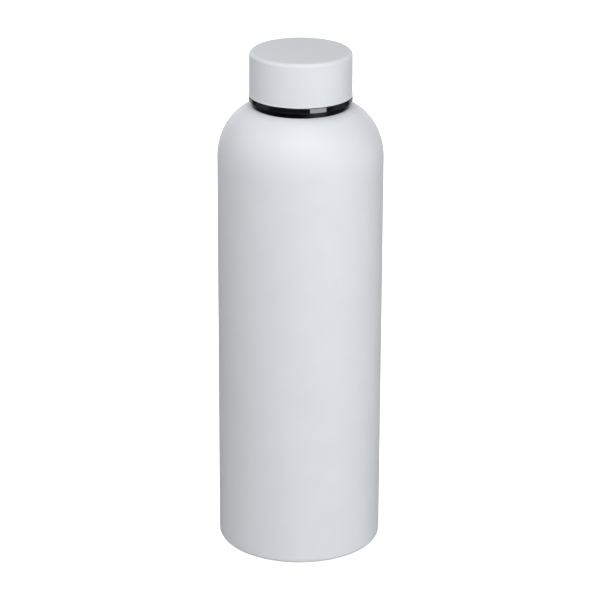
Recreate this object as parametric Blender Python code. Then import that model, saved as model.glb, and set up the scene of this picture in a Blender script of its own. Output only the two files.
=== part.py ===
"""Insulated water bottle: a double-walled vacuum bottle with a cap that screws into its neck.

Every piece is turned about the Z axis, and the bottle stands on z = 0. The cap's pieces hang on an
empty at the cap's seat, so their heights are measured from the bottom edge of the cap's cover.
"""

from math import acos, atan2, cos, pi, radians, sin, tau

import bmesh
import bpy
from mathutils import Vector

MM = 0.001
GAP = 0.3 * MM  # between pieces that touch on the real bottle

# Outer wall
BODY_R = 35.0 * MM
SHELL_WALL = 0.4 * MM
FOOT_CORNER = 2.5 * MM
FOOT_EDGE_R = 29.0 * MM
SHOULDER_Z = 173.3 * MM
SHOULDER_RUN = 18.8 * MM
SHOULDER_RISE = 22.85 * MM
SHOULDER_STEPS = 9

# Dark chromed collar round the mouth
LIP_Z = 200.0 * MM
COLLAR_R = 21.75 * MM
COLLAR_WAIST_R = 20.4 * MM
COLLAR_BORE_R = 19.7 * MM
COLLAR_STEP_Z = 198.05 * MM
COLLAR_EDGE = 0.2 * MM
SHOULDER_END = acos((COLLAR_WAIST_R - BODY_R + SHOULDER_RUN) / SHOULDER_RUN)
LEDGE_Z = SHOULDER_Z + SHOULDER_RISE * sin(SHOULDER_END)
SHELL_NECK_R = COLLAR_BORE_R - GAP

# Bottom of the outer wall
BASE_R = FOOT_EDGE_R - GAP
BASE_FLANGE_Z = 0.4 * MM
BASE_TOP_Z = 2.6 * MM
DIMPLE_R = 6.0 * MM
DIMPLE_RISE = 1.6 * MM
EVACUATION_HOLE_R = 1.0 * MM
SEAL_R = 4.2 * MM
SEAL_H = 0.9 * MM
COVER_DISC_R = BASE_R - SHELL_WALL - GAP
COVER_DISC_Z = 0.7 * MM
COVER_DISC_EDGE = 0.15 * MM
ADHESIVE_RING = (9.0 * MM, 25.0 * MM)
ADHESIVE_H = 0.3 * MM

# Getter, inside the vacuum space
GETTER_X = 16.0 * MM
GETTER_CUP_R = 4.5 * MM
GETTER_CUP_H = 2.2 * MM
GETTER_WALL = 0.25 * MM

# Inner wall
LINER_R = 31.2 * MM
LINER_WALL = 0.3 * MM
FLOOR_Z = 9.0 * MM
FLOOR_CORNER = 7.0 * MM
FLOOR_WELD_Z = 16.5 * MM
LINER_SHOULDER_Z = 169.0 * MM
LINER_SHOULDER_RISE = 16.5 * MM
LINER_SHOULDER_STEPS = 6
NECK_BORE_R = 18.1 * MM
NECK_FILLET = 2.5 * MM
LIP_CORNER = 0.6 * MM
SEAT_R = 17.15 * MM
SEAT_CONE = (189.2 * MM, 190.6 * MM)
FOIL = 0.1 * MM
FOIL_END_Z = 166.0 * MM
FLOOR_FOIL_R = 23.5 * MM

# Screw thread: two starts, cut right-handed in the neck and on the cap's plug
THREAD_STARTS = 2
THREAD_LEAD = 8.0 * MM
THREAD_Z = 191.9 * MM
THREAD_TURNS = 0.7
THREAD_DEPTH = 0.95 * MM
THREAD_BASE = 2.0 * MM
THREAD_CREST = 0.9 * MM
THREAD_BITE = 0.2 * MM
THREAD_RUN_OUT_STEPS = 5
PLUG_THREAD_LIFT = 0.4 * MM  # the closed cap's threads bear on the neck's from below

# Cap, measured from the cover's bottom edge
CAP_SEAT_Z = LIP_Z + GAP
CAP_R = 21.6 * MM
CAP_H = 18.6 * MM
CAP_EDGE = 1.7 * MM
CAP_WALL = 0.4 * MM
CORE_R = CAP_R - CAP_WALL - GAP
CORE_TOP = 17.0 * MM
CORE_WALL = 1.8 * MM
FLANGE_Z = 2.1 * MM
FLANGE_H = 2.2 * MM
PLUG_R = 16.7 * MM
PLUG_BORE_R = 13.3 * MM
NOSE_Z = -13.5 * MM
NOSE_R = 16.4 * MM
NOSE_EDGE = 0.7 * MM
NOSE_FLOOR = 2.0 * MM
GROOVE_R = 14.7 * MM
GROOVE = (-12.5 * MM, -10.3 * MM)
O_RING_R = 15.95 * MM
O_RING_SECTION_R = 0.9 * MM
O_RING_STEPS = 8
CORE_LID_H = 1.5 * MM
CAP_ADHESIVE_R = 17.0 * MM
CAP_ADHESIVE_H = 0.5 * MM
GASKET_R = (17.2 * MM, 20.4 * MM)
GASKET_EDGE = 0.3 * MM

SEGMENTS = 48
HIDDEN_SEGMENTS = 32
SMALL_SEGMENTS = 20
CORNER_STEPS = 3
FINE_EDGE = 0.5 * MM  # corners rounder than this are arcs, and finer ones are chamfers
SHARP_ANGLE = radians(35)
WELD = 1e-6

# Finishes: colour, roughness, metallic
WHITE_COAT = ((0.78, 0.79, 0.81), 0.55, 0.0)
DARK_CHROME = ((0.05, 0.05, 0.055), 0.08, 1.0)
PRESSED_STEEL = ((0.60, 0.60, 0.61), 0.32, 1.0)
COPPER_FOIL = ((0.75, 0.42, 0.28), 0.35, 1.0)
GETTER_ALLOY = ((0.16, 0.16, 0.17), 0.8, 0.2)
SOLDER_GLASS = ((0.10, 0.11, 0.12), 0.2, 0.0)
CURED_ADHESIVE = ((0.83, 0.80, 0.68), 0.55, 0.0)
POLYPROPYLENE = ((0.80, 0.80, 0.80), 0.45, 0.0)
FOAM = ((0.90, 0.87, 0.75), 0.9, 0.0)
SILICONE = ((0.82, 0.83, 0.84), 0.6, 0.0)


def clear_scene():
    for thing in list(bpy.data.objects):
        bpy.data.objects.remove(thing, do_unlink=True)


def material(name, colour, roughness, metallic):
    made = bpy.data.materials.new(name)
    made.use_nodes = True
    shader = made.node_tree.nodes["Principled BSDF"]
    shader.inputs["Base Color"].default_value = (*colour, 1.0)
    shader.inputs["Roughness"].default_value = roughness
    shader.inputs["Metallic"].default_value = metallic
    made.diffuse_color = (*colour, 1.0)
    return made


# Outlines: lists of (radius, height)


def arc(centre, radii, start, end, steps):
    """An elliptical arc with both of its ends; angles run from the outward radius towards +Z."""
    angles = [start + (end - start) * i / steps for i in range(steps + 1)]
    return [(centre[0] + radii[0] * cos(a), centre[1] + radii[1] * sin(a)) for a in angles]


def round_corner(before, corner, after, radius):
    """The points of an arc that is tangent to the two lines that meet at the corner."""
    to_before = (before - corner).normalized()
    to_after = (after - corner).normalized()
    half = to_before.angle(to_after) / 2
    middle = (to_before + to_after).normalized()
    centre = corner + middle * (radius / sin(half))
    back = -middle
    sweep = pi / 2 - half
    side = 1 if back.cross(to_after) > 0 else -1
    facing = atan2(back.y, back.x)
    start, end = facing - side * sweep, facing + side * sweep
    return arc(centre, (radius, radius), start, end, CORNER_STEPS if radius > FINE_EDGE else 1)


def rounded(corners, closed=False):
    """The line through the corners. A corner's third number, if it has one, is its radius."""
    path = []
    for i, corner in enumerate(corners):
        radius = corner[2] if len(corner) > 2 else 0.0
        inside = closed or 0 < i < len(corners) - 1
        if radius and inside:
            before = Vector(corners[i - 1][:2])
            after = Vector(corners[(i + 1) % len(corners)][:2])
            path += round_corner(before, Vector(corner[:2]), after, radius)
        else:
            path.append(tuple(corner[:2]))
    return path


def beside(path, distance):
    """The line moved sideways, with mitred corners: towards the axis where it runs downwards."""
    normals = []
    for (r0, z0), (r1, z1) in zip(path, path[1:]):
        normals.append(Vector((z1 - z0, r0 - r1)).normalized())
    moved = []
    for i, (r, z) in enumerate(path):
        before, after = normals[max(i - 1, 0)], normals[min(i, len(normals) - 1)]
        step = (before + after) * (distance / (1 + before.dot(after)))
        moved.append((r + step.x, z + step.y))
    return moved


def sheet(path, wall):
    """The outline of a pressed sheet: the line of one face, and its other face beside it."""
    return path + beside(path, wall)[::-1]


def ring(inner_r, outer_r, low, high, edge=0.0):
    corners = [(inner_r, low), (outer_r, low), (outer_r, high), (inner_r, high)]
    return rounded([(r, z, edge) for r, z in corners], closed=True)


def disc(outer_r, low, high, edge=0.0):
    return rounded([(0.0, low), (outer_r, low, edge), (outer_r, high, edge), (0.0, high)])


# Solids


def finish_object(name, shape, finish, parent):
    """Makes the object of a bmesh, with round faces shaded smooth."""
    bmesh.ops.recalc_face_normals(shape, faces=shape.faces)
    mesh = bpy.data.meshes.new(name)
    shape.to_mesh(mesh)
    shape.free()
    mesh.shade_smooth()
    mesh.set_sharp_from_angle(angle=SHARP_ANGLE)
    made = bpy.data.objects.new(name, mesh)
    bpy.context.collection.objects.link(made)
    made.parent = parent
    if finish:
        mesh.materials.append(material(name, *finish))
    return made


def turned(name, outline, finish, parent=None, segments=SEGMENTS, at=(0.0, 0.0, 0.0)):
    """A solid of revolution about Z. An outline that begins and ends on the axis is closed there."""
    shape = bmesh.new()
    corners = [shape.verts.new((r, 0.0, z)) for r, z in outline]
    for i, (r, _) in enumerate(outline):
        if r or outline[i - 1][0]:
            shape.edges.new((corners[i - 1], corners[i]))
    profile = corners + list(shape.edges)
    bmesh.ops.spin(shape, geom=profile, axis=(0, 0, 1), angle=tau, steps=segments, use_merge=True)
    bmesh.ops.remove_doubles(shape, verts=shape.verts, dist=WELD)
    made = finish_object(name, shape, finish, parent)
    made.location = at
    return made


def thread_ridge(name, root_r, depth, low, start, parent=None):
    """One helical ridge, as a helper for a union. It climbs anticlockwise and fades out at both ends."""
    shape = bmesh.new()
    steps = round(THREAD_TURNS * SEGMENTS)
    bite = THREAD_BITE if depth > 0 else -THREAD_BITE
    sections = []
    for i in range(steps + 1):
        angle = start + tau * (i + 0.5) / SEGMENTS
        middle = low + THREAD_LEAD * i / SEGMENTS
        share = min(1.0, i / THREAD_RUN_OUT_STEPS, (steps - i) / THREAD_RUN_OUT_STEPS)
        crest_r = root_r - bite / 2 + (depth + bite / 2) * share
        section = [
            (root_r - bite, middle - THREAD_BASE / 2),
            (crest_r, middle - THREAD_CREST / 2),
            (crest_r, middle + THREAD_CREST / 2),
            (root_r - bite, middle + THREAD_BASE / 2),
        ]
        sections.append([shape.verts.new((r * cos(angle), r * sin(angle), z)) for r, z in section])
    for before, after in zip(sections, sections[1:]):
        for i in range(4):
            shape.faces.new((before[i - 1], before[i], after[i], after[i - 1]))
    shape.faces.new(sections[0])
    shape.faces.new(sections[-1][::-1])
    ridge = finish_object(name, shape, None, parent)
    ridge.hide_render = True
    ridge.display_type = "WIRE"
    return ridge


def join_thread(piece, root_r, depth, low, turned_by):
    """Unites a ridge for each start with the piece."""
    for number in range(THREAD_STARTS):
        start = turned_by + tau * number / THREAD_STARTS
        ridge = thread_ridge(f"{piece.name}_thread_{number}", root_r, depth, low, start, piece.parent)
        union = piece.modifiers.new(f"thread_{number}", "BOOLEAN")
        union.operation = "UNION"
        union.solver = "EXACT"
        union.object = ridge


def axis_empty(name, parent=None, height=0.0):
    empty = bpy.data.objects.new(name, None)
    bpy.context.collection.objects.link(empty)
    empty.parent = parent
    empty.location = (0.0, 0.0, height)
    return empty


# The bottle


def outer_wall():
    centre = (BODY_R - SHOULDER_RUN, SHOULDER_Z)
    neck = [(SHELL_NECK_R, LIP_Z - LINER_WALL - GAP), (SHELL_NECK_R, LEDGE_Z)]
    shoulder = arc(centre, (SHOULDER_RUN, SHOULDER_RISE), SHOULDER_END, 0.0, SHOULDER_STEPS)
    foot = rounded([shoulder[-1], (BODY_R, 0.0, FOOT_CORNER), (FOOT_EDGE_R, 0.0)])
    turned("outer_shell", sheet(neck + shoulder + foot[1:], SHELL_WALL), WHITE_COAT)

    collar = [
        (COLLAR_BORE_R, LEDGE_Z + GAP),
        (COLLAR_WAIST_R, LEDGE_Z + GAP),
        (COLLAR_WAIST_R, COLLAR_STEP_Z),
        (COLLAR_R, COLLAR_STEP_Z, COLLAR_EDGE),
        (COLLAR_R, LIP_Z, COLLAR_EDGE),
        (COLLAR_BORE_R, LIP_Z),
    ]
    turned("neck_collar", rounded(collar, closed=True), DARK_CHROME)


def outer_bottom():
    dimple_z = BASE_TOP_Z + DIMPLE_RISE
    dish = rounded(
        [
            (BASE_R, BASE_FLANGE_Z),
            (BASE_R, BASE_TOP_Z, 2 * SHELL_WALL),
            (DIMPLE_R + DIMPLE_RISE / 2, BASE_TOP_Z),
            (DIMPLE_R - DIMPLE_RISE / 2, dimple_z),
            (EVACUATION_HOLE_R, dimple_z),
        ]
    )
    turned("outer_base", sheet(dish, -SHELL_WALL), PRESSED_STEEL, segments=HIDDEN_SEGMENTS)

    seal_top = dimple_z - SHELL_WALL - GAP
    seal = disc(SEAL_R, seal_top - SEAL_H, seal_top, GAP)
    turned("vacuum_seal", seal, SOLDER_GLASS, segments=SMALL_SEGMENTS)

    cover_top = COVER_DISC_Z + SHELL_WALL
    cover = disc(COVER_DISC_R, COVER_DISC_Z, cover_top, COVER_DISC_EDGE)
    turned("base_cover", cover, WHITE_COAT)

    adhesive = ring(*ADHESIVE_RING, cover_top + GAP, cover_top + GAP + ADHESIVE_H)
    turned("base_adhesive", adhesive, CURED_ADHESIVE, segments=HIDDEN_SEGMENTS)


def getter():
    cup_z = BASE_TOP_Z + GAP
    cup = [(0.0, cup_z), (GETTER_CUP_R, cup_z), (GETTER_CUP_R, cup_z + GETTER_CUP_H)]
    at = (GETTER_X, 0.0, 0.0)
    turned("getter_cup", sheet(cup, -GETTER_WALL), PRESSED_STEEL, segments=SMALL_SEGMENTS, at=at)

    pellet_z = cup_z + GETTER_WALL + GAP
    pellet = disc(GETTER_CUP_R - GETTER_WALL - GAP, pellet_z, cup_z + GETTER_CUP_H, GAP)
    turned("getter_pellet", pellet, GETTER_ALLOY, segments=SMALL_SEGMENTS, at=at)


def inner_wall():
    fillet_r = SEAT_R + NECK_FILLET
    shoulder_top = LINER_SHOULDER_Z + LINER_SHOULDER_RISE
    neck = rounded(
        [
            (SHELL_NECK_R, LIP_Z),
            (NECK_BORE_R, LIP_Z, LIP_CORNER),
            (NECK_BORE_R, SEAT_CONE[1]),
            (SEAT_R, SEAT_CONE[0]),
            (SEAT_R, shoulder_top, NECK_FILLET),
            (fillet_r + NECK_FILLET, shoulder_top),
        ]
    )
    centre = (fillet_r, LINER_SHOULDER_Z)
    shoulder = arc(centre, (LINER_R - fillet_r, LINER_SHOULDER_RISE), pi / 2, 0.0, LINER_SHOULDER_STEPS)
    side = [(LINER_R, FLOOR_WELD_Z + GAP)]
    liner = turned(
        "inner_liner", sheet(neck[:-1] + shoulder[1:] + side, -LINER_WALL), PRESSED_STEEL
    )
    join_thread(liner, NECK_BORE_R, -THREAD_DEPTH, THREAD_Z, 0.0)

    floor = rounded([(LINER_R, FLOOR_WELD_Z), (LINER_R, FLOOR_Z, FLOOR_CORNER), (0.0, FLOOR_Z)])
    turned("inner_base", sheet(floor, -LINER_WALL), PRESSED_STEEL)


def foils():
    wrap_r = LINER_R + LINER_WALL + GAP
    wrap = ring(wrap_r, wrap_r + FOIL, FLOOR_WELD_Z + GAP, FOIL_END_Z)
    turned("liner_foil", wrap, COPPER_FOIL)
    foil_top = FLOOR_Z - LINER_WALL - GAP
    floor_foil = disc(FLOOR_FOIL_R, foil_top - FOIL, foil_top)
    turned("base_foil", floor_foil, COPPER_FOIL, segments=HIDDEN_SEGMENTS)


# The cap


def cap_shell(parent):
    path = rounded([(0.0, CAP_H), (CAP_R, CAP_H, CAP_EDGE), (CAP_R, 0.0)])
    turned("cap_cover", sheet(path, CAP_WALL), WHITE_COAT, parent)

    low = CORE_TOP + GAP
    glue = disc(CAP_ADHESIVE_R, low, low + CAP_ADHESIVE_H)
    turned("cap_adhesive", glue, CURED_ADHESIVE, parent, HIDDEN_SEGMENTS)


def cap_inside(parent):
    cavity_r = CORE_R - CORE_WALL
    floor = NOSE_Z + NOSE_FLOOR
    core = rounded(
        [
            (0.0, NOSE_Z),
            (NOSE_R, NOSE_Z, NOSE_EDGE),
            (NOSE_R, GROOVE[0]),
            (GROOVE_R, GROOVE[0]),
            (GROOVE_R, GROOVE[1]),
            (PLUG_R, GROOVE[1]),
            (PLUG_R, FLANGE_Z),
            (CORE_R, FLANGE_Z),
            (CORE_R, CORE_TOP),
            (cavity_r, CORE_TOP),
            (cavity_r, FLANGE_Z + FLANGE_H),
            (PLUG_BORE_R, FLANGE_Z + FLANGE_H),
            (PLUG_BORE_R, floor),
            (0.0, floor),
        ]
    )
    moulding = turned("cap_core", core, POLYPROPYLENE, parent)
    plug_thread_z = THREAD_Z - CAP_SEAT_Z + PLUG_THREAD_LIFT
    join_thread(moulding, PLUG_R, THREAD_DEPTH, plug_thread_z, pi / THREAD_STARTS)

    lid_low = CORE_TOP - CORE_LID_H
    lid = disc(cavity_r - GAP, lid_low, CORE_TOP)
    turned("core_lid", lid, POLYPROPYLENE, parent, HIDDEN_SEGMENTS)

    waist = FLANGE_Z + FLANGE_H + GAP
    foam = [
        (0.0, floor + GAP),
        (PLUG_BORE_R - GAP, floor + GAP),
        (PLUG_BORE_R - GAP, waist),
        (cavity_r - GAP, waist),
        (cavity_r - GAP, lid_low - GAP),
        (0.0, lid_low - GAP),
    ]
    turned("cap_foam", foam, FOAM, parent, HIDDEN_SEGMENTS)


def seals(parent):
    gasket = ring(*GASKET_R, 0.0, FLANGE_Z - GAP, GASKET_EDGE)
    turned("lip_gasket", gasket, SILICONE, parent)
    centre = (O_RING_R, (GROOVE[0] + GROOVE[1]) / 2)
    section = arc(centre, (O_RING_SECTION_R, O_RING_SECTION_R), -pi, pi, O_RING_STEPS)
    turned("plug_seal", section[:-1], SILICONE, parent)


def main():
    clear_scene()
    outer_wall()
    outer_bottom()
    getter()
    inner_wall()
    foils()
    lift_axis = axis_empty("cap_lift_axis", height=CAP_SEAT_Z)
    turn_axis = axis_empty("cap_turn_axis", parent=lift_axis)
    seals(lift_axis)
    cap_shell(turn_axis)
    cap_inside(turn_axis)


main()
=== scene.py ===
"""The looks of the insulated water bottle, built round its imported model.

Every piece that can be seen is turned again at a fine resolution, with rolled threads in the neck
and on the cap's plug. The pieces inside the walls keep the model's shapes. All of them have
procedural finishes. Lengths are in metres, and the bottle stands on z = 0 with its axis along Z.
"""

from math import acos, asin, atan2, cos, pi, radians, sin, tau

import bmesh
import bpy
from mathutils import Euler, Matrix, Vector


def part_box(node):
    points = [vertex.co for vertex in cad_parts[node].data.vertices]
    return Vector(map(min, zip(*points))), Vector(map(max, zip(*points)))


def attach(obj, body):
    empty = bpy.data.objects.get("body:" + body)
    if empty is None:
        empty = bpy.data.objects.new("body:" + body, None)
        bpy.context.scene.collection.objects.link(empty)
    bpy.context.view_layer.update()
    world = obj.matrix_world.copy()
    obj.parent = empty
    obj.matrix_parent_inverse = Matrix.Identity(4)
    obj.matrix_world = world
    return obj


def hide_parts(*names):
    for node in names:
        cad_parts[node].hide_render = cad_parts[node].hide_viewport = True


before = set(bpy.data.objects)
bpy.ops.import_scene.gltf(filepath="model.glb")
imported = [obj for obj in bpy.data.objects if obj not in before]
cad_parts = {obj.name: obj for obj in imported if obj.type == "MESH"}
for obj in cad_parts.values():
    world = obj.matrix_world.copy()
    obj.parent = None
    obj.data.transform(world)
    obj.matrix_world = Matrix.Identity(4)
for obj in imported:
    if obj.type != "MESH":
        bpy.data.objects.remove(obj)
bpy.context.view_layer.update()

MM = 0.001

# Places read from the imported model
SHELL_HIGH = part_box("outer_shell")[1]
COLLAR_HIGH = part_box("neck_collar")[1]
BASE_LOW, BASE_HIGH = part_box("outer_base")
DISC_LOW, DISC_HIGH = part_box("base_cover")
FLOOR_LOW, FLOOR_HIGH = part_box("inner_base")
COVER_LOW, COVER_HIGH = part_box("cap_cover")
CORE_LOW, CORE_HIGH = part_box("cap_core")
GASKET_LOW, GASKET_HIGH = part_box("lip_gasket")
O_RING_LOW, O_RING_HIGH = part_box("plug_seal")

BODY_R = SHELL_HIGH[0]
LIP_Z = COLLAR_HIGH[2]
COLLAR_R = COLLAR_HIGH[0]
CAP_R = COVER_HIGH[0]
CAP_SEAT_Z = COVER_LOW[2]
CAP_TOP_Z = COVER_HIGH[2]
CORE_R = CORE_HIGH[0]
CORE_TOP_Z = CORE_HIGH[2]
NOSE_Z = CORE_LOW[2]
LINER_OUT_R = FLOOR_HIGH[0]

# Outer wall
SHELL_WALL = 0.4 * MM
FOOT_CORNER = 2.5 * MM
FOOT_EDGE_R = 29.0 * MM
SHOULDER_Z = 173.3 * MM
SHOULDER_RUN = 18.8 * MM
SHOULDER_RISE = 22.85 * MM
SHOULDER_STEPS = 48

# Collar: a mirror ring over a narrower satin waist
COLLAR_WAIST_R = 20.4 * MM
COLLAR_BORE_R = 19.7 * MM
COLLAR_STEP_Z = 198.05 * MM
COLLAR_EDGE = 0.08 * MM
COLLAR_STEP_EDGE = 0.05 * MM

# Bottom
BASE_CORNER = 0.8 * MM
BASE_ABOVE_DISC = 1.5 * MM
DIMPLE_R = 6.0 * MM
DIMPLE_SLOPE = 1.6 * MM
EVACUATION_HOLE_R = 1.0 * MM
DISC_EDGE = 1 / 3  # the rounding of its edges, as a share of its thickness

# Inner wall
LINER_WALL = 0.3 * MM
FLOOR_CORNER = 7.0 * MM
LINER_SHOULDER_Z = 169.0 * MM
LINER_SHOULDER_RISE = 16.5 * MM
LINER_SHOULDER_STEPS = 32
NECK_BORE_R = 18.1 * MM
NECK_FILLET = 2.5 * MM
LIP_CORNER = 0.6 * MM
NECK_STEPS = 8
SEAT_R = 17.15 * MM
SEAT_CONE = (189.2 * MM, 190.6 * MM)
SEAT_EDGE = 0.25 * MM

# Screw thread: two starts, right-handed
THREAD_STARTS = 2
THREAD_LEAD = 8.0 * MM
THREAD_BELOW_LIP = 8.1 * MM
THREAD_TURNS = 0.7
THREAD_DEPTH = 0.95 * MM
THREAD_BASE = 2.0 * MM
THREAD_CREST = 0.9 * MM
THREAD_BITE = 0.2 * MM
THREAD_ROUND = 0.3 * MM
THREAD_ROUND_STEPS = 3
THREAD_RUN_OUT = 0.15  # the share of the ridge's length in which each of its ends fades out
PLUG_THREAD_LIFT = 0.4 * MM

# Cap
CAP_EDGE = 1.7 * MM
CAP_EDGE_STEPS = 10
CAP_WALL = 0.4 * MM
CAP_FLARE = 0.18 * MM  # the cover's lower edge curls out by this over its last CAP_FLARE_H
CAP_FLARE_H = 0.42 * MM
CAP_FLARE_STEPS = 4
CORE_WALL = 1.8 * MM
FLANGE_Z = CAP_SEAT_Z + 2.1 * MM
FLANGE_H = 2.2 * MM
PLUG_R = 16.7 * MM
PLUG_BORE_R = 13.3 * MM
NOSE_R = 16.4 * MM
NOSE_EDGE = 0.7 * MM
NOSE_FLOOR = 2.0 * MM
NOSE_DISH_R = 12.5 * MM
NOSE_DISH = 0.5 * MM
GROOVE_R = 14.7 * MM
GROOVE = (1.0 * MM, 3.2 * MM)  # above the nose
MOULD_EDGE = 0.25 * MM
O_RING_SECTION_R = 0.9 * MM
O_RING_STEPS = 24
GASKET_BORE_R = 17.2 * MM
GASKET_EDGE = 0.3 * MM

SEAM = 0.02 * MM  # between pieces that are welded or pressed together
FINE_SEGMENTS = 192  # round the axis
CORNER_STEPS = 6
WIDE_CORNER_STEPS = 12
SHARP_ANGLE = radians(40)
WELD = 1e-6  # points nearer than this are one point


# Outlines: lists of (radius, height)


def arc(centre, radii, start, end, steps):
    """An elliptical arc with both of its ends; angles run from the outward radius towards +Z."""
    angles = [start + (end - start) * i / steps for i in range(steps + 1)]
    return [(centre[0] + radii[0] * cos(a), centre[1] + radii[1] * sin(a)) for a in angles]


def round_corner(before, corner, after, radius, steps):
    """The points of an arc that is tangent to the two lines that meet at the corner."""
    to_before = (before - corner).normalized()
    to_after = (after - corner).normalized()
    half = to_before.angle(to_after) / 2
    middle = (to_before + to_after).normalized()
    centre = corner + middle * (radius / sin(half))
    sweep = pi / 2 - half
    side = 1 if (-middle).cross(to_after) > 0 else -1
    facing = atan2(-middle.y, -middle.x)
    return arc(centre, (radius, radius), facing - side * sweep, facing + side * sweep, steps)


def rounded(corners, closed=False, steps=CORNER_STEPS):
    """The line through the corners. A corner's third number, if it has one, is its radius."""
    path = []
    for i, corner in enumerate(corners):
        radius = corner[2] if len(corner) > 2 else 0.0
        if radius and (closed or 0 < i < len(corners) - 1):
            before = Vector(corners[i - 1][:2])
            after = Vector(corners[(i + 1) % len(corners)][:2])
            path += round_corner(before, Vector(corner[:2]), after, radius, steps)
        else:
            path.append(tuple(corner[:2]))
    return path


def beside(path, distance):
    """The line moved sideways, with mitred corners: towards the axis where it runs downwards."""
    normals = []
    for (r0, z0), (r1, z1) in zip(path, path[1:]):
        normals.append(Vector((z1 - z0, r0 - r1)).normalized())
    moved = []
    for i, (r, z) in enumerate(path):
        before, after = normals[max(i - 1, 0)], normals[min(i, len(normals) - 1)]
        step = (before + after) * (distance / (1 + before.dot(after)))
        moved.append((r + step.x, z + step.y))
    return moved


def sheet(path, wall):
    """The outline of a pressed sheet: the line of one face, and its other face beside it."""
    return path + beside(path, wall)[::-1]


# Pieces


def add_piece(name, shape, body, finish, replaced):
    bmesh.ops.recalc_face_normals(shape, faces=shape.faces)
    mesh = bpy.data.meshes.new(name)
    shape.to_mesh(mesh)
    shape.free()
    mesh.shade_smooth()
    mesh.set_sharp_from_angle(angle=SHARP_ANGLE)
    mesh.materials.append(finish)
    piece = bpy.data.objects.new(name, mesh)
    bpy.context.scene.collection.objects.link(piece)
    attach(piece, body)
    # Weighted normals keep a flat wall's shading flat right up to a small rounding
    flat = piece.modifiers.new("flat_faces", "WEIGHTED_NORMAL")
    flat.keep_sharp = True
    if replaced:
        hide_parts(replaced)


def turned(name, outline, body, finish, replaced=None):
    """A solid of revolution about Z. An outline with both ends on the axis is closed there."""
    shape = bmesh.new()
    corners = [shape.verts.new((r, 0.0, z)) for r, z in outline]
    for i, (r, _) in enumerate(outline):
        if r or outline[i - 1][0]:
            shape.edges.new((corners[i - 1], corners[i]))
    profile = corners + list(shape.edges)
    bmesh.ops.spin(
        shape, geom=profile, axis=(0, 0, 1), angle=tau, steps=FINE_SEGMENTS, use_merge=True
    )
    bmesh.ops.remove_doubles(shape, verts=shape.verts, dist=WELD)
    add_piece(name, shape, body, finish, replaced)


def threads(name, root_r, depth, low, first, body, finish):
    """The helical ridges of a screw thread. They climb anticlockwise, and fade out at both ends."""
    side = 1 if depth > 0 else -1
    steps = round(THREAD_TURNS * FINE_SEGMENTS)
    shape = bmesh.new()
    for number in range(THREAD_STARTS):
        sections = []
        for i in range(steps + 1):
            along = min(i, steps - i) / steps
            share = sin(pi / 2 * min(1.0, along / THREAD_RUN_OUT))
            height = THREAD_BITE + abs(depth) * share
            corners = [
                (0.0, -THREAD_BASE / 2),
                (height, -THREAD_CREST / 2, THREAD_ROUND),
                (height, THREAD_CREST / 2, THREAD_ROUND),
                (0.0, THREAD_BASE / 2),
            ]
            angle = first + tau * (number / THREAD_STARTS + i / FINE_SEGMENTS)
            middle = low + THREAD_LEAD * i / FINE_SEGMENTS
            section = []
            for out, z in rounded(corners, steps=THREAD_ROUND_STEPS):
                r = root_r + side * (out - THREAD_BITE)
                section.append(shape.verts.new((r * cos(angle), r * sin(angle), middle + z)))
            sections.append(section)
        for before, after in zip(sections, sections[1:]):
            for i in range(len(before)):
                shape.faces.new((before[i - 1], before[i], after[i], after[i - 1]))
        shape.faces.new(sections[0])
        shape.faces.new(sections[-1][::-1])
    add_piece(name, shape, body, finish, None)


# Finishes

NOISE_RANGE = (0.3, 0.7)  # where most of a noise's values lie


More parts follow.
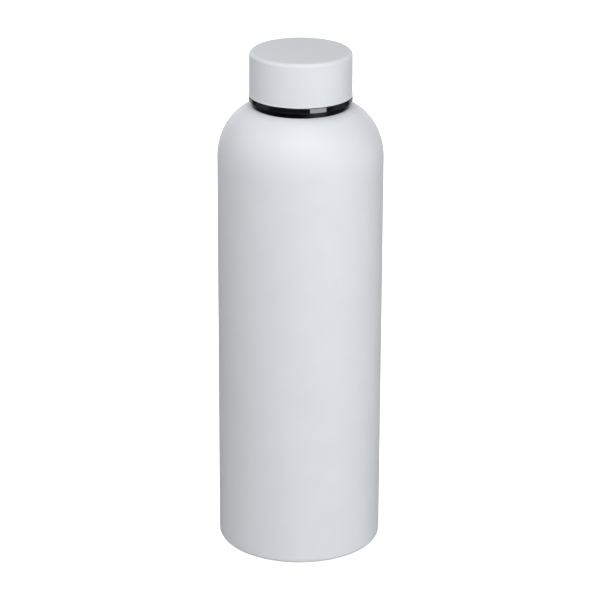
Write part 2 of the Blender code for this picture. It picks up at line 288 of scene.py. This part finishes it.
class Finish:
    """A node material, with short calls for the nodes that the finishes share."""

    def __init__(self, name, colour, roughness, metallic=0.0):
        self.material = bpy.data.materials.new(name)
        self.material.use_nodes = True
        self.tree = self.material.node_tree
        self.shader = self.tree.nodes["Principled BSDF"]
        self.shader.inputs["Base Color"].default_value = (*colour, 1.0)
        self.shader.inputs["Roughness"].default_value = roughness
        self.shader.inputs["Metallic"].default_value = metallic
        self.point = self.tree.nodes.new("ShaderNodeTexCoord").outputs["Object"]

    def node(self, kind, source, **settings):
        """A new node whose first input takes the source."""
        made = self.tree.nodes.new(kind)
        for key, value in settings.items():
            setattr(made, key, value)
        self.tree.links.new(source, made.inputs[0])
        return made

    def noise(self, size, detail=2.0, point=None):
        """Noise whose features are about size metres across."""
        made = self.node("ShaderNodeTexNoise", point or self.point)
        made.inputs["Scale"].default_value = 1.0 / size
        made.inputs["Detail"].default_value = detail
        return made.outputs["Fac"]

    def cells(self, size):
        """The distance from the middle of the nearest cell, 0 to about 1."""
        made = self.node("ShaderNodeTexVoronoi", self.point)
        made.inputs["Scale"].default_value = 1.0 / size
        return made.outputs["Distance"]

    def lathe_point(self):
        """Radius and height in place of X, Y and Z, so that a pattern runs round the axis."""
        flat = self.node("ShaderNodeVectorMath", self.point, operation="MULTIPLY")
        flat.inputs[1].default_value = (1.0, 1.0, 0.0)
        radius = self.node("ShaderNodeVectorMath", flat.outputs[0], operation="LENGTH")
        split = self.node("ShaderNodeSeparateXYZ", self.point)
        joined = self.node("ShaderNodeCombineXYZ", radius.outputs["Value"])
        self.tree.links.new(split.outputs["Z"], joined.inputs["Z"])
        return joined.outputs[0]

    def spread(self, value, low, high):
        """A noise's usual range mapped to low and high."""
        made = self.node("ShaderNodeMapRange", value)
        made.inputs["From Min"].default_value = NOISE_RANGE[0]
        made.inputs["From Max"].default_value = NOISE_RANGE[1]
        made.inputs["To Min"].default_value = low
        made.inputs["To Max"].default_value = high
        return made.outputs["Result"]

    def colours(self, value, first, second):
        made = self.node("ShaderNodeMix", self.spread(value, 0.0, 1.0), data_type="RGBA")
        made.inputs["A"].default_value = (*first, 1.0)
        made.inputs["B"].default_value = (*second, 1.0)
        self.tree.links.new(made.outputs["Result"], self.shader.inputs["Base Color"])

    def roughness(self, value, low, high):
        self.tree.links.new(self.spread(value, low, high), self.shader.inputs["Roughness"])

    def bump(self, value, height):
        """Relief of about this height, on top of any that is there already."""
        made = self.tree.nodes.new("ShaderNodeBump")
        made.inputs["Distance"].default_value = height
        self.tree.links.new(value, made.inputs["Height"])
        normal = self.shader.inputs["Normal"]
        if normal.links:
            self.tree.links.new(normal.links[0].from_socket, made.inputs["Normal"])
        self.tree.links.new(made.outputs["Normal"], normal)


def powder_coat(name):
    """White powder coat: a fine dry grain over a faint orange peel."""
    coat = Finish(name, (0.77, 0.79, 0.827), 0.5)
    coat.colours(coat.noise(15 * MM), (0.76, 0.78, 0.817), (0.78, 0.80, 0.837))
    coat.roughness(coat.noise(2.5 * MM), 0.46, 0.54)
    coat.bump(coat.noise(1.8 * MM, 1.0), 0.006 * MM)
    coat.bump(coat.noise(0.3 * MM), 0.008 * MM)
    return coat.material


def dark_chrome(name):
    """Dark plating over polished steel, with the finest trace of the polishing wheel."""
    chrome = Finish(name, (0.205, 0.208, 0.215), 0.06, 1.0)
    chrome.colours(chrome.noise(5 * MM), (0.195, 0.198, 0.205), (0.215, 0.218, 0.225))
    chrome.roughness(chrome.noise(0.1 * MM, point=chrome.lathe_point()), 0.05, 0.08)
    return chrome.material


def dark_satin(name):
    """Near-black metal on the waist, brushed round the axis."""
    satin = Finish(name, (0.03, 0.031, 0.033), 0.3, 1.0)
    satin.colours(satin.noise(3 * MM), (0.026, 0.027, 0.029), (0.034, 0.035, 0.037))
    lines = satin.noise(0.12 * MM, point=satin.lathe_point())
    satin.roughness(lines, 0.24, 0.36)
    satin.bump(lines, 0.004 * MM)
    return satin.material


def pressed_steel(name):
    """Stainless sheet, spun and then electropolished: soft rings, and a little haze."""
    steel = Finish(name, (0.60, 0.595, 0.585), 0.3, 1.0)
    steel.colours(steel.noise(9 * MM), (0.56, 0.555, 0.545), (0.63, 0.625, 0.615))
    rings = steel.noise(0.35 * MM, 3.0, steel.lathe_point())
    steel.roughness(rings, 0.22, 0.36)
    steel.bump(rings, 0.006 * MM)
    steel.bump(steel.noise(0.6 * MM), 0.003 * MM)
    return steel.material


def polypropylene(name):
    """White moulded plastic with a spark-eroded grain."""
    plastic = Finish(name, (0.80, 0.80, 0.79), 0.42)
    plastic.colours(plastic.noise(8 * MM), (0.78, 0.78, 0.77), (0.82, 0.82, 0.815))
    plastic.roughness(plastic.noise(1.2 * MM), 0.36, 0.48)
    plastic.bump(plastic.noise(0.25 * MM), 0.012 * MM)
    plastic.shader.inputs["Subsurface Weight"].default_value = 0.04
    plastic.shader.inputs["Subsurface Scale"].default_value = 1.5 * MM
    return plastic.material


def silicone(name):
    """Milky translucent rubber with a bloom that dulls it unevenly."""
    rubber = Finish(name, (0.74, 0.76, 0.78), 0.5)
    rubber.colours(rubber.noise(3 * MM), (0.71, 0.73, 0.75), (0.77, 0.79, 0.81))
    rubber.roughness(rubber.noise(1.0 * MM, 3.0), 0.40, 0.62)
    rubber.bump(rubber.noise(0.2 * MM), 0.006 * MM)
    rubber.shader.inputs["Subsurface Weight"].default_value = 0.1
    rubber.shader.inputs["Subsurface Scale"].default_value = 1.0 * MM
    return rubber.material


def foam(name):
    """Closed-cell foam: small round cells, a few of them larger."""
    block = Finish(name, (0.86, 0.82, 0.68), 0.9)
    cells = block.cells(0.7 * MM)
    block.colours(cells, (0.74, 0.69, 0.52), (0.90, 0.87, 0.75))
    block.bump(cells, 0.15 * MM)
    block.bump(block.noise(3 * MM), 0.2 * MM)
    return block.material


def copper_foil(name):
    """Thin foil that was smoothed on by hand: shallow creases and darker patches."""
    foil = Finish(name, (0.75, 0.42, 0.28), 0.3, 1.0)
    foil.colours(foil.noise(12 * MM, 3.0), (0.62, 0.32, 0.20), (0.80, 0.47, 0.32))
    foil.roughness(foil.noise(4 * MM), 0.2, 0.42)
    foil.bump(foil.cells(7 * MM), 0.12 * MM)
    foil.bump(foil.noise(1.5 * MM, 3.0), 0.03 * MM)
    return foil.material


def solder_glass(name):
    """The glass bead that was melted over the evacuation hole: glossy, with small pits."""
    bead = Finish(name, (0.035, 0.04, 0.045), 0.12)
    bead.colours(bead.noise(1.5 * MM), (0.02, 0.024, 0.028), (0.06, 0.066, 0.072))
    bead.roughness(bead.noise(0.8 * MM), 0.08, 0.25)
    bead.bump(bead.cells(0.6 * MM), 0.02 * MM)
    return bead.material


def getter_alloy(name):
    """A pressed and sintered pellet: dark metal grains."""
    pellet = Finish(name, (0.16, 0.16, 0.17), 0.8, 0.6)
    pellet.colours(pellet.noise(0.2 * MM, 3.0), (0.08, 0.08, 0.085), (0.26, 0.26, 0.27))
    pellet.roughness(pellet.noise(0.5 * MM), 0.65, 0.9)
    pellet.bump(pellet.cells(0.25 * MM), 0.05 * MM)
    return pellet.material


def adhesive(name):
    """Cured glue, a little yellow, squeezed into low ridges."""
    glue = Finish(name, (0.80, 0.76, 0.60), 0.5)
    glue.colours(glue.noise(4 * MM), (0.74, 0.69, 0.50), (0.84, 0.81, 0.68))
    glue.roughness(glue.noise(2 * MM), 0.35, 0.6)
    glue.bump(glue.noise(1.5 * MM), 0.08 * MM)
    return glue.material


# The bottle


def outer_wall(coat):
    run_end = acos((COLLAR_WAIST_R - BODY_R + SHOULDER_RUN) / SHOULDER_RUN)
    ledge_z = SHOULDER_Z + SHOULDER_RISE * sin(run_end)
    neck_r = COLLAR_BORE_R - SEAM
    centre = (BODY_R - SHOULDER_RUN, SHOULDER_Z)
    shoulder = arc(centre, (SHOULDER_RUN, SHOULDER_RISE), run_end, 0.0, SHOULDER_STEPS)
    foot_corners = [shoulder[-1], (BODY_R, 0.0, FOOT_CORNER), (FOOT_EDGE_R, 0.0)]
    foot = rounded(foot_corners, steps=WIDE_CORNER_STEPS)
    path = [(neck_r, SHELL_HIGH[2]), (neck_r, ledge_z)] + shoulder + foot[1:]
    outline = sheet(path, SHELL_WALL)
    turned("bottle_shell", outline, "bottle", coat, "outer_shell")
    return ledge_z


def collar(ledge_z):
    waist = [
        (COLLAR_BORE_R, ledge_z + SEAM),
        (COLLAR_WAIST_R, ledge_z + SEAM),
        (COLLAR_WAIST_R, COLLAR_STEP_Z),
        (COLLAR_BORE_R, COLLAR_STEP_Z),
    ]
    satin = dark_satin("dark_satin")
    turned("collar_waist", waist, "bottle", satin, "neck_collar")
    ring = [
        (COLLAR_BORE_R, COLLAR_STEP_Z),
        (COLLAR_R, COLLAR_STEP_Z, COLLAR_STEP_EDGE),
        (COLLAR_R, LIP_Z, COLLAR_EDGE),
        (COLLAR_BORE_R, LIP_Z, COLLAR_EDGE),
    ]
    outline = rounded(ring, closed=True)
    chrome = dark_chrome("dark_chrome")
    turned("collar_ring", outline, "bottle", chrome, "neck_collar")


def bottom(coat, steel):
    """The pressed base, pushed into the foot, and the coated disc that covers it."""
    rim_r = FOOT_EDGE_R - SEAM
    flat_z = DISC_HIGH[2] + BASE_ABOVE_DISC
    dish = rounded(
        [
            (rim_r, BASE_LOW[2]),
            (rim_r, flat_z, BASE_CORNER),
            (DIMPLE_R + DIMPLE_SLOPE / 2, flat_z),
            (DIMPLE_R - DIMPLE_SLOPE / 2, BASE_HIGH[2]),
            (EVACUATION_HOLE_R, BASE_HIGH[2]),
        ]
    )
    turned("pressed_base", sheet(dish, -SHELL_WALL), "bottle", steel, "outer_base")

    disc_r = DISC_HIGH[0]
    edge = (DISC_HIGH[2] - DISC_LOW[2]) * DISC_EDGE
    disc = [(0.0, DISC_LOW[2]), (disc_r, DISC_LOW[2], edge), (disc_r, DISC_HIGH[2], edge)]
    outline = rounded([*disc, (0.0, DISC_HIGH[2])])
    turned("base_disc", outline, "bottle", coat, "base_cover")


def inner_wall(steel):
    fillet_r = SEAT_R + NECK_FILLET
    shoulder_top = LINER_SHOULDER_Z + LINER_SHOULDER_RISE
    weld_z = FLOOR_HIGH[2]
    neck = rounded(
        [
            (COLLAR_BORE_R - SEAM, LIP_Z),
            (NECK_BORE_R, LIP_Z, LIP_CORNER),
            (NECK_BORE_R, SEAT_CONE[1], SEAT_EDGE),
            (SEAT_R, SEAT_CONE[0], SEAT_EDGE),
            (SEAT_R, shoulder_top, NECK_FILLET),
            (fillet_r + NECK_FILLET, shoulder_top),
        ],
        steps=NECK_STEPS,
    )
    centre = (fillet_r, LINER_SHOULDER_Z)
    liner_r = LINER_OUT_R - LINER_WALL
    radii = (liner_r - fillet_r, LINER_SHOULDER_RISE)
    shoulder = arc(centre, radii, pi / 2, 0.0, LINER_SHOULDER_STEPS)
    path = neck[:-1] + shoulder[1:] + [(liner_r, weld_z + SEAM)]
    turned("liner", sheet(path, -LINER_WALL), "bottle", steel, "inner_liner")
    low = LIP_Z - THREAD_BELOW_LIP
    threads("liner_thread", NECK_BORE_R, -THREAD_DEPTH, low, 0.0, "bottle", steel)

    floor_z = FLOOR_LOW[2] + LINER_WALL
    floor = [(liner_r, weld_z), (liner_r, floor_z, FLOOR_CORNER), (0.0, floor_z)]
    outline = sheet(rounded(floor, steps=WIDE_CORNER_STEPS), -LINER_WALL)
    turned("liner_floor", outline, "bottle", steel, "inner_base")


# The cap


def cap_shell(coat):
    inner_r = CAP_R - CAP_WALL
    under_z = CAP_TOP_Z - CAP_WALL
    curl_r = (CAP_FLARE**2 + CAP_FLARE_H**2) / (2 * CAP_FLARE)
    curl_end = pi + asin(CAP_FLARE_H / curl_r)
    centre = (CAP_R + curl_r, CAP_SEAT_Z + CAP_FLARE_H)
    outside = [(0.0, CAP_TOP_Z), (CAP_R, CAP_TOP_Z, CAP_EDGE), (CAP_R, centre[1])]
    top = rounded(outside, steps=CAP_EDGE_STEPS)
    curl = arc(centre, (curl_r, curl_r), pi, curl_end, CAP_FLARE_STEPS)
    inside = [(inner_r, CAP_SEAT_Z), (inner_r, under_z, CAP_EDGE - CAP_WALL), (0.0, under_z)]
    outline = top[:-1] + curl + rounded(inside, steps=CAP_EDGE_STEPS)
    turned("cap_shell", outline, "cap", coat, "cap_cover")


def plug(plastic):
    cavity_r = CORE_R - CORE_WALL
    floor_z = NOSE_Z + NOSE_FLOOR
    groove_low, groove_high = (NOSE_Z + z for z in GROOVE)
    core = [
        (0.0, NOSE_Z + NOSE_DISH),
        (NOSE_DISH_R, NOSE_Z + NOSE_DISH, MOULD_EDGE),
        (NOSE_DISH_R + NOSE_DISH, NOSE_Z, MOULD_EDGE),
        (NOSE_R, NOSE_Z, NOSE_EDGE),
        (NOSE_R, groove_low, MOULD_EDGE / 2),
        (GROOVE_R, groove_low, MOULD_EDGE),
        (GROOVE_R, groove_high, MOULD_EDGE),
        (PLUG_R, groove_high, MOULD_EDGE),
        (PLUG_R, FLANGE_Z, MOULD_EDGE),
        (CORE_R, FLANGE_Z, MOULD_EDGE),
        (CORE_R, CORE_TOP_Z),
        (cavity_r, CORE_TOP_Z),
        (cavity_r, FLANGE_Z + FLANGE_H),
        (PLUG_BORE_R, FLANGE_Z + FLANGE_H),
        (PLUG_BORE_R, floor_z),
        (0.0, floor_z),
    ]
    turned("cap_plug", rounded(core), "cap", plastic, "cap_core")
    low = LIP_Z - THREAD_BELOW_LIP + PLUG_THREAD_LIFT
    first = pi / THREAD_STARTS
    threads("plug_thread", PLUG_R, THREAD_DEPTH, low, first, "cap", plastic)


def seals(rubber):
    gasket_r, low, high = GASKET_HIGH[0], GASKET_LOW[2], GASKET_HIGH[2]
    washer = [(GASKET_BORE_R, low), (gasket_r, low), (gasket_r, high), (GASKET_BORE_R, high)]
    outline = rounded([(*corner, GASKET_EDGE) for corner in washer], closed=True)
    turned("gasket", outline, "cap_seals", rubber, "lip_gasket")

    centre = (O_RING_HIGH[0] - O_RING_SECTION_R, (O_RING_LOW[2] + O_RING_HIGH[2]) / 2)
    section = arc(centre, (O_RING_SECTION_R, O_RING_SECTION_R), -pi, pi, O_RING_STEPS)
    turned("o_ring", section[:-1], "cap_seals", rubber, "plug_seal")


def inside_finishes(steel, plastic):
    """Finishes for the model's own pieces between the walls and inside the cap."""
    glue = adhesive("adhesive")
    foil = copper_foil("copper_foil")
    finishes = {
        "vacuum_seal": solder_glass("solder_glass"),
        "base_adhesive": glue,
        "cap_adhesive": glue,
        "getter_cup": steel,
        "getter_pellet": getter_alloy("getter_alloy"),
        "liner_foil": foil,
        "base_foil": foil,
        "core_lid": plastic,
        "cap_foam": foam("foam"),
    }
    for name, finish in finishes.items():
        mesh = bpy.data.objects[name].data
        mesh.materials.clear()
        mesh.materials.append(finish)


# Stage, lights and camera

CAMERA_BACK = 1104.7 * MM
CAMERA_UP = 526.6 * MM
CAMERA_PITCH = 0.3619  # radians, as is the roll
CAMERA_ROLL = 0.0037
FOCAL_LENGTH = 165.57  # millimetres, as Blender takes it
SENSOR_WIDTH = 36.0
CLIP_START = 0.05

LIGHT_AIM_Z = 120.0 * MM
FLOOR_SIZE = 8.0
PAPER_WHITE = 0.9
PAPER_ROUGHNESS = 0.9
FLOOR_GLOW = 1.0
STUDIO_DARK = 0.03


def camera():
    data = bpy.data.cameras.new("camera")
    data.lens = FOCAL_LENGTH
    data.sensor_width = SENSOR_WIDTH
    data.clip_start = CLIP_START
    made = bpy.data.objects.new("camera", data)
    made.location = (0.0, -CAMERA_BACK, CAMERA_UP)
    made.rotation_euler = Euler((pi / 2 - CAMERA_PITCH, 0.0, 0.0))
    made.rotation_euler.rotate_axis("Z", CAMERA_ROLL)
    bpy.context.scene.collection.objects.link(made)
    bpy.context.scene.camera = made


def panel(name, azimuth, elevation, distance, size, radiance):
    """A soft box that faces the bottle. Azimuth 0 is the camera's side, and 90 is on its right."""
    data = bpy.data.lights.new(name, "AREA")
    data.shape = "RECTANGLE"
    data.size, data.size_y = size
    data.energy = radiance * pi * size[0] * size[1]
    turn, climb = radians(azimuth), radians(elevation)
    across = distance * cos(climb)
    aim = Vector((0.0, 0.0, LIGHT_AIM_Z))
    away = Vector((across * sin(turn), -across * cos(turn), distance * sin(climb)))
    made = bpy.data.objects.new(name, data)
    made.location = aim + away
    made.rotation_euler = (-away).to_track_quat("-Z", "Y").to_euler()
    made.visible_camera = False
    bpy.context.scene.collection.objects.link(made)


def lights():
    panel("key", 39.0, 15.6, 0.52, (0.38, 0.52), 1.55)
    panel("overhead", 0.0, 52.0, 1.2, (0.9, 0.7), 3.8)
    panel("overhead_right", 30.0, 55.0, 1.2, (0.8, 0.7), 0.95)
    panel("left", -80.0, 42.0, 0.42, (0.25, 0.25), 2.1)
    panel("back_left", -150.0, 25.0, 1.1, (0.7, 0.5), 0.7)
    panel("back_right", 140.0, 45.0, 1.2, (0.7, 0.7), 0.76)
    panel("behind", 180.0, 2.0, 0.8, (0.8, 0.32), 2.5)
    for side in (-1, 1):
        panel("low_back", side * 152.0, 6.0, 0.65, (0.45, 0.5), 0.45)
        panel("low_side", side * 95.0, 3.0, 0.65, (0.5, 0.45), 0.07)


def floor_paper():
    """White paper under the bottle, which glows to the camera alone."""
    shape = bmesh.new()
    bmesh.ops.create_grid(shape, x_segments=1, y_segments=1, size=FLOOR_SIZE / 2)
    mesh = bpy.data.meshes.new("floor")
    shape.to_mesh(mesh)
    shape.free()
    floor = bpy.data.objects.new("floor", mesh)
    floor.location.z = -SEAM
    floor.visible_glossy = False
    bpy.context.scene.collection.objects.link(floor)

    paper = Finish("floor_paper", (PAPER_WHITE,) * 3, PAPER_ROUGHNESS)
    tree = paper.tree
    to_camera = tree.nodes.new("ShaderNodeLightPath").outputs["Is Camera Ray"]
    glow = paper.node("ShaderNodeMath", to_camera, operation="MULTIPLY")
    glow.inputs[1].default_value = FLOOR_GLOW
    paper.shader.inputs["Emission Color"].default_value = (1.0, 1.0, 1.0, 1.0)
    tree.links.new(glow.outputs[0], paper.shader.inputs["Emission Strength"])
    mesh.materials.append(paper.material)


def studio():
    """A dark studio that is white to the camera alone."""
    world = bpy.data.worlds.new("studio")
    bpy.context.scene.world = world
    world.use_nodes = True
    tree = world.node_tree
    background = tree.nodes["Background"]
    background.inputs["Color"].default_value = (1.0, 1.0, 1.0, 1.0)
    level = tree.nodes.new("ShaderNodeMath")
    level.operation = "MAXIMUM"
    level.inputs[1].default_value = STUDIO_DARK
    to_camera = tree.nodes.new("ShaderNodeLightPath").outputs["Is Camera Ray"]
    tree.links.new(to_camera, level.inputs[0])
    tree.links.new(level.outputs[0], background.inputs["Strength"])
    bpy.context.scene.view_settings.view_transform = "Standard"


coat = powder_coat("white_powder_coat")
steel = pressed_steel("pressed_steel")
plastic = polypropylene("white_polypropylene")
collar(outer_wall(coat))
bottom(coat, steel)
inner_wall(steel)
cap_shell(coat)
plug(plastic)
seals(silicone("silicone"))
inside_finishes(steel, plastic)
floor_paper()
studio()
lights()
camera()
